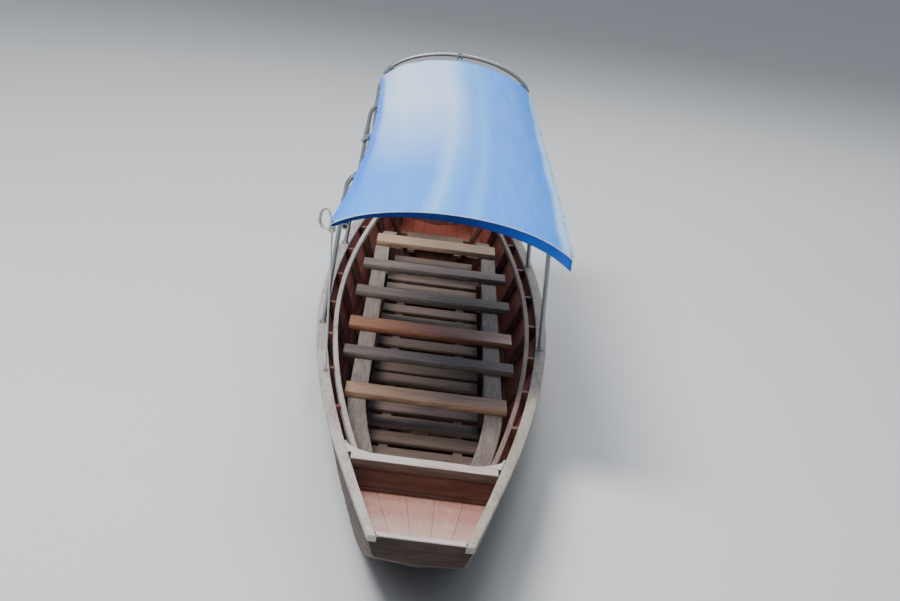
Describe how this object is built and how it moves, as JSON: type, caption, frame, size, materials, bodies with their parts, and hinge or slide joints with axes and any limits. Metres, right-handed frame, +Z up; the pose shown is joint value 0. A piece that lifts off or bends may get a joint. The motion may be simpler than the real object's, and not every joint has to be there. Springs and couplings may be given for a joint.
{
  "type": "longtail boat",
  "caption": "Small planked wooden longtail boat with a blue tarpaulin canopy on steel hoops and a pivoting engine with a long propeller shaft.",
  "frame": {"origin": "on the waterline plane, amidships, on the hull's centre plane", "axes": "+X towards the bow, +Y to port, +Z up"},
  "size_m": [10.0365, 1.2012, 1.7047],
  "materials": {
    "hull_wood": "weathered red-brown paint",
    "pale_wood": "faded and worn pale",
    "deck_wood": "sun-bleached, bare",
    "seat_wood": "worn varnish",
    "canopy_pipe": "dull galvanised",
    "tarp": "woven plastic sheet, satin",
    "dark_steel": "worn dark paint with rust",
    "engine_alloy": "cast, oily",
    "cover_red": "faded red",
    "white_plastic": "yellowed white",
    "black_plastic": "dull",
    "grip_rubber": "worn",
    "prop_brass": "tarnished"
  },
  "bodies": {
    "hull": {"bottom_planking": "hull_wood", "lower_strake_port": "hull_wood", "lower_strake_starboard": "hull_wood", "upper_strake_port": "hull_wood", "upper_strake_starboard": "hull_wood", "bow_bulkhead": "hull_wood", "stern_bulkhead": "hull_wood", "side_framing_port": "hull_wood", "side_framing_starboard": "hull_wood", "floor_framing": "hull_wood", "gunwale_cap_port": "pale_wood", "gunwale_cap_starboard": "pale_wood", "bow_head": "pale_wood", "stern_head": "pale_wood", "bow_cross_beam": "pale_wood", "stern_cross_beam": "pale_wood", "foredeck": "deck_wood", "aft_deck": "deck_wood", "tail_chock": "deck_wood", "thwart_front": "seat_wood", "thwart_second": "seat_wood", "thwart_third": "seat_wood", "thwart_fourth": "seat_wood", "thwart_fifth": "seat_wood", "thwart_driver": "seat_wood", "seat_rail_port": "seat_wood", "seat_rail_starboard": "seat_wood", "floor_panel_bow": "seat_wood", "floor_panel_fore": "seat_wood", "floor_panel_middle": "seat_wood", "floor_panel_aft": "seat_wood", "floor_panel_stern": "seat_wood", "hoop_front": "canopy_pipe", "hoop_second": "canopy_pipe", "hoop_third": "canopy_pipe", "hoop_fourth": "canopy_pipe", "hoop_fifth": "canopy_pipe", "hoop_rear": "canopy_pipe", "ridge_pole": "canopy_pipe", "eave_rail_port": "canopy_pipe", "eave_rail_starboard": "canopy_pipe", "tarpaulin": "tarp", "pivot_socket": "dark_steel"},
    "yoke": {"swivel_yoke": "dark_steel"},
    "engine_unit": {"cradle": "dark_steel", "coupling_housing": "engine_alloy", "crankcase": "engine_alloy", "finned_cylinder": "engine_alloy", "silencer": "dark_steel", "recoil_housing": "cover_red", "fuel_tank": "white_plastic", "fuel_cap": "black_plastic", "air_filter": "black_plastic", "tiller_arm": "dark_steel", "tiller_grip": "grip_rubber", "tail_tube": "dark_steel"},
    "screw": {"propeller": "prop_brass"}
  },
  "joints": [
    {"name": "engine_swivel", "type": "hinge", "parent": "hull", "child": "yoke", "pos_m": [-3.45, 0, 0.52], "axis": [0, 0, 1], "range_deg": [-30, 30]},
    {"name": "engine_tilt", "type": "hinge", "parent": "yoke", "child": "engine_unit", "pos_m": [-3.45, 0, 0.52], "axis": [0, 1, 0], "range_deg": [0, 28]},
    {"name": "propeller_spin", "type": "hinge", "parent": "engine_unit", "child": "screw", "pos_m": [-5.83088, 0, -0.21887], "axis": [0.9397, 0, 0.342], "continuous": true}
  ]
}
